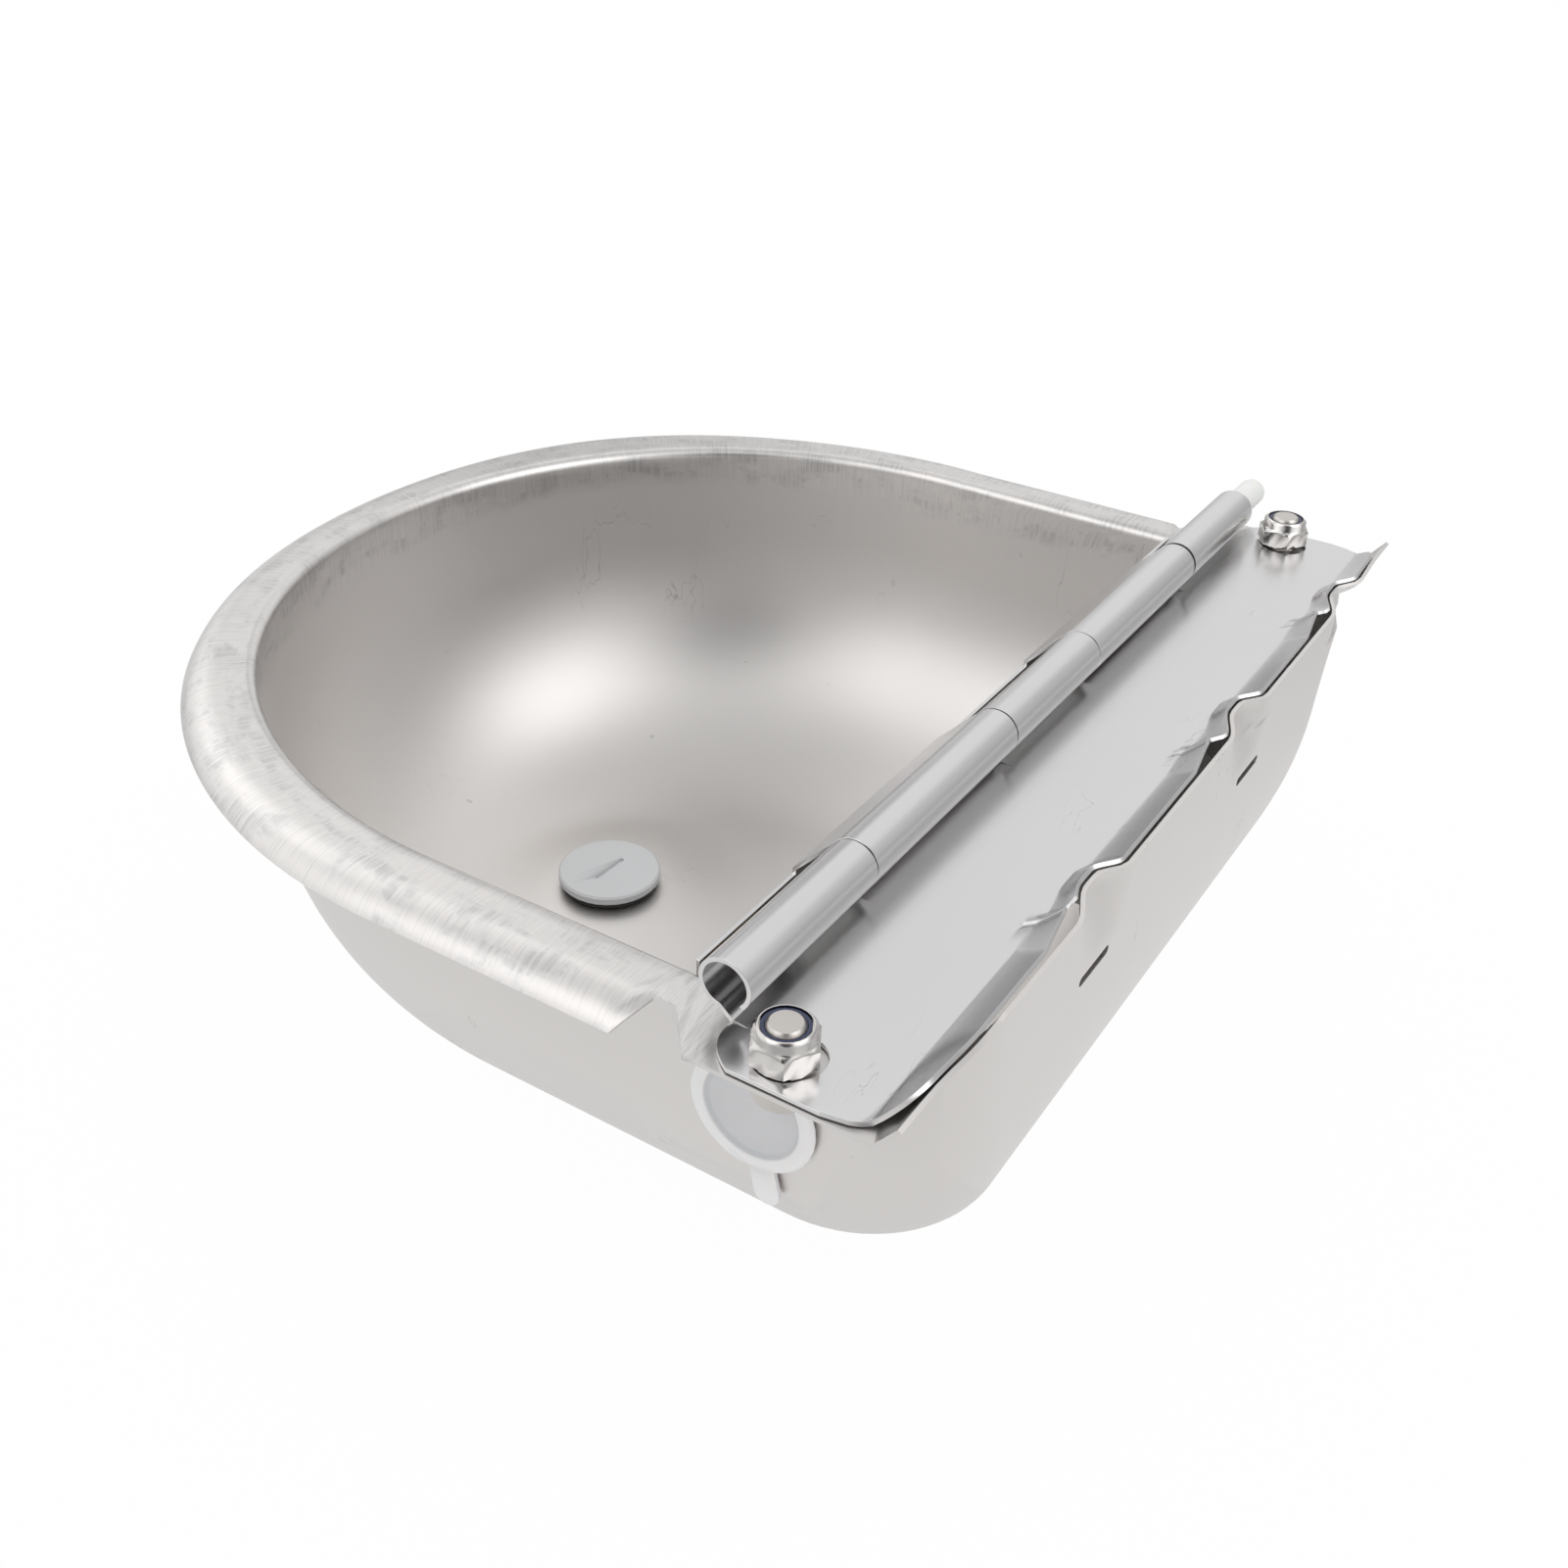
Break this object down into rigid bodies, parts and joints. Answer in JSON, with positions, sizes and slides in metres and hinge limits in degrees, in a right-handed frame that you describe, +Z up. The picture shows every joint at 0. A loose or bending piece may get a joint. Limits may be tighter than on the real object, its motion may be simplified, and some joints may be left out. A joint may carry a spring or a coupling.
{
  "type": "livestock drinking bowl",
  "caption": "Wall-hung stainless steel livestock drinking bowl with a bolted cover over a float valve chamber, a hinged partition flap, a bottom drain plug and a side water inlet.",
  "frame": {"origin": "middle of the overall box, on the plane the bowl's bottom stands on", "axes": "+X along the hinge towards the water inlet, +Y towards the back wall, +Z up"},
  "size_m": [0.3065, 0.2816, 0.118],
  "materials": {
    "bowl_steel": "satin",
    "cover_steel": "polished",
    "flap_steel": "satin",
    "pin_plastic": "matte",
    "stud_steel": "satin",
    "nut_steel": "polished",
    "insert_nylon": "matte",
    "plug_plastic": "matte",
    "gasket_rubber": "matte",
    "lock_steel": "satin",
    "cap_plastic": "satin",
    "valve_brass": "satin",
    "plunger_plastic": "matte",
    "lever_steel": "satin",
    "float_plastic": "matte"
  },
  "bodies": {
    "bowl": {"bowl_shell": "bowl_steel", "cover_plate": "cover_steel", "cover_stud_near": "stud_steel", "cover_stud_far": "stud_steel", "cover_nut_near": "nut_steel", "cover_nut_far": "nut_steel", "nut_insert_near": "insert_nylon", "nut_insert_far": "insert_nylon", "drain_locknut": "lock_steel", "inlet_socket": "lock_steel", "valve_body": "valve_brass", "valve_gasket": "gasket_rubber", "lever_pin": "stud_steel", "pin_clip": "stud_steel"},
    "flap": {"partition_flap": "flap_steel", "flap_knuckle_near": "flap_steel", "flap_knuckle_far": "flap_steel"},
    "pin": {"hinge_pin": "pin_plastic"},
    "float": {"float_lever": "lever_steel", "float_wire": "lever_steel", "float_body": "float_plastic", "float_nut": "valve_brass"},
    "plunger": {"valve_plunger": "plunger_plastic", "plunger_seal": "gasket_rubber"},
    "plug": {"drain_plug": "plug_plastic", "drain_gasket": "gasket_rubber"},
    "cap": {"inlet_cap": "cap_plastic"}
  },
  "joints": [
    {"name": "flap_swing", "type": "hinge", "parent": "bowl", "child": "flap", "pos_m": [0.00325, 0.09525, 0.112], "axis": [-1, 0, 0], "range_deg": [0, 195]},
    {"name": "pin_slide", "type": "slide", "parent": "bowl", "child": "pin", "axis": [-1, 0, 0], "range_m": [0, 0.252]},
    {"name": "float_swing", "type": "hinge", "parent": "bowl", "child": "float", "pos_m": [0.07315, 0.09675, 0.064], "axis": [0, 1, 0], "range_deg": [0, 13.75]},
    {"name": "plunger_travel", "type": "slide", "parent": "bowl", "child": "plunger", "axis": [1, 0, 0], "range_m": [0, 0.0024]},
    {"name": "drain_plug_lift", "type": "slide", "parent": "bowl", "child": "plug", "axis": [0, 0, 1], "range_m": [0, 0.03]},
    {"name": "inlet_cap_pull", "type": "slide", "parent": "bowl", "child": "cap", "axis": [1, 0, 0], "range_m": [0, 0.025]}
  ],
  "couplings": [
    {"joint": "plunger_travel", "follows": "float_swing", "m_per_rad": 0.01}
  ]
}
